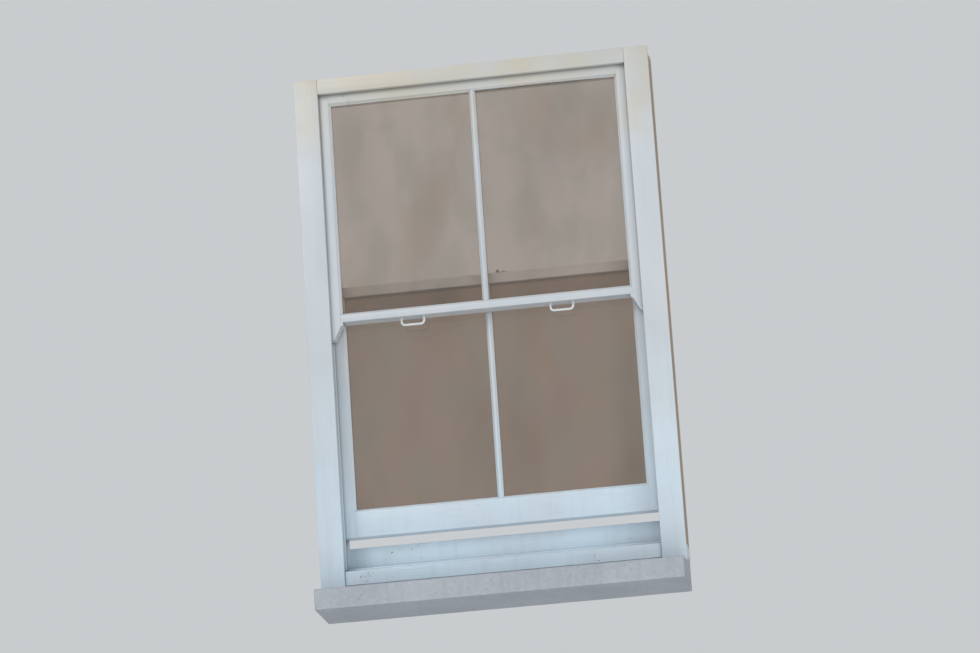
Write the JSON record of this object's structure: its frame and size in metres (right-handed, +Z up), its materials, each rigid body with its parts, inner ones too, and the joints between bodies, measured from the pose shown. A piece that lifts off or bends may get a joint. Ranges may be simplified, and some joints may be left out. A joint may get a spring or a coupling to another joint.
{
  "type": "box sash window",
  "caption": "Vertically sliding timber box sash window, two panes over two, with weights, cords and pulleys in its frame, on a projecting stone sill.",
  "frame": {"origin": "on the stone sill's underside, in the middle of the width, in the plane of the outer linings' front faces", "axes": "+X to the right as seen from outside, +Y through the window into the room, +Z up"},
  "size_m": [1.242, 0.3067, 1.903],
  "materials": {
    "painted_timber": "satin",
    "bare_timber": "matte",
    "painted_stone": "matte",
    "putty": "satin",
    "glass": "gloss",
    "painted_fittings": "gloss",
    "brass": "satin",
    "cast_iron": "matte",
    "cotton_cord": "matte"
  },
  "bodies": {
    "frame": {"stone_sill": "painted_stone", "timber_sill": "painted_timber", "head_board": "bare_timber", "outer_lining_head": "painted_timber", "inner_lining_head": "painted_timber", "parting_bead_head": "painted_timber", "staff_bead_head": "painted_timber", "draught_bead": "painted_timber", "weight_dividers": "bare_timber", "outer_lining_left": "painted_timber", "outer_lining_right": "painted_timber", "inner_lining_left": "painted_timber", "inner_lining_right": "painted_timber", "pulley_stile_left": "painted_timber", "pulley_stile_right": "painted_timber", "parting_bead_left": "painted_timber", "parting_bead_right": "painted_timber", "staff_bead_left": "painted_timber", "staff_bead_right": "painted_timber", "pocket_cover_left": "painted_timber", "pocket_cover_right": "painted_timber", "back_lining_left": "bare_timber", "back_lining_right": "bare_timber", "pulley_case_upper_left": "brass", "pulley_case_upper_right": "brass", "pulley_case_lower_left": "brass", "pulley_case_lower_right": "brass", "cord_upper_left": "cotton_cord", "cord_upper_right": "cotton_cord", "cord_lower_left": "cotton_cord", "cord_lower_right": "cotton_cord"},
    "upper_sash": {"upper_stile_left": "painted_timber", "upper_stile_right": "painted_timber", "upper_top_rail": "painted_timber", "upper_meeting_rail": "painted_timber", "upper_glazing_bar": "painted_timber", "upper_pane_left": "glass", "upper_pane_right": "glass", "upper_putty": "putty", "upper_pull_handles": "painted_fittings", "fastener_keeper": "brass"},
    "lower_sash": {"lower_stile_left": "painted_timber", "lower_stile_right": "painted_timber", "lower_bottom_rail": "painted_timber", "lower_meeting_rail": "painted_timber", "lower_glazing_bar": "painted_timber", "lower_pane_left": "glass", "lower_pane_right": "glass", "lower_putty": "putty", "lower_lift_handles": "painted_fittings", "fastener_base": "brass"},
    "fastener": {"fastener_lever": "brass"},
    "upper_left_weight": {"weight_upper_left": "cast_iron"},
    "upper_left_wheel": {"pulley_wheel_upper_left": "brass"},
    "upper_right_weight": {"weight_upper_right": "cast_iron"},
    "upper_right_wheel": {"pulley_wheel_upper_right": "brass"},
    "lower_left_weight": {"weight_lower_left": "cast_iron"},
    "lower_left_wheel": {"pulley_wheel_lower_left": "brass"},
    "lower_right_weight": {"weight_lower_right": "cast_iron"},
    "lower_right_wheel": {"pulley_wheel_lower_right": "brass"}
  },
  "joints": [
    {"name": "upper_sash_slide", "type": "slide", "parent": "frame", "child": "upper_sash", "axis": [0, 0, 1], "range_m": [-0.7, 0], "deforming": ["cord_upper_left", "cord_upper_right"]},
    {"name": "lower_sash_slide", "type": "slide", "parent": "frame", "child": "lower_sash", "axis": [0, 0, 1], "range_m": [-0.102, 0.62], "deforming": ["cord_lower_left", "cord_lower_right"]},
    {"name": "upper_left_weight_slide", "type": "slide", "parent": "frame", "child": "upper_left_weight", "axis": [0, 0, 1], "range_m": [0, 0.7]},
    {"name": "upper_left_wheel_turn", "type": "hinge", "parent": "frame", "child": "upper_left_wheel", "pos_m": [-0.567, 0.04375, 1.763], "axis": [0, 1, 0], "range_deg": [0, 1573.3]},
    {"name": "upper_right_weight_slide", "type": "slide", "parent": "frame", "child": "upper_right_weight", "axis": [0, 0, 1], "range_m": [0, 0.7]},
    {"name": "upper_right_wheel_turn", "type": "hinge", "parent": "frame", "child": "upper_right_wheel", "pos_m": [0.567, 0.04375, 1.763], "axis": [0, 1, 0], "range_deg": [-1573.3, 0]},
    {"name": "lower_left_weight_slide", "type": "slide", "parent": "frame", "child": "lower_left_weight", "axis": [0, 0, 1], "range_m": [-0.62, 0.102]},
    {"name": "lower_left_wheel_turn", "type": "hinge", "parent": "frame", "child": "lower_left_wheel", "pos_m": [-0.567, 0.10025, 1.763], "axis": [0, 1, 0], "range_deg": [-1393.6, 229.7]},
    {"name": "lower_right_weight_slide", "type": "slide", "parent": "frame", "child": "lower_right_weight", "axis": [0, 0, 1], "range_m": [-0.62, 0.102]},
    {"name": "lower_right_wheel_turn", "type": "hinge", "parent": "frame", "child": "lower_right_wheel", "pos_m": [0.567, 0.10025, 1.763], "axis": [0, 1, 0], "range_deg": [-229.7, 1393.6]},
    {"name": "fastener_turn", "type": "hinge", "parent": "lower_sash", "child": "fastener", "pos_m": [0.06, 0.1, 1.1645], "axis": [0, 0, 1], "range_deg": [-90, 0]}
  ],
  "couplings": [
    {"joint": "upper_left_weight_slide", "follows": "upper_sash_slide", "ratio": -1},
    {"joint": "upper_left_wheel_turn", "follows": "upper_sash_slide", "rad_per_m": -39.216},
    {"joint": "upper_right_weight_slide", "follows": "upper_sash_slide", "ratio": -1},
    {"joint": "upper_right_wheel_turn", "follows": "upper_sash_slide", "rad_per_m": 39.216},
    {"joint": "lower_left_weight_slide", "follows": "lower_sash_slide", "ratio": -1},
    {"joint": "lower_left_wheel_turn", "follows": "lower_sash_slide", "rad_per_m": -39.216},
    {"joint": "lower_right_weight_slide", "follows": "lower_sash_slide", "ratio": -1},
    {"joint": "lower_right_wheel_turn", "follows": "lower_sash_slide", "rad_per_m": 39.216}
  ]
}
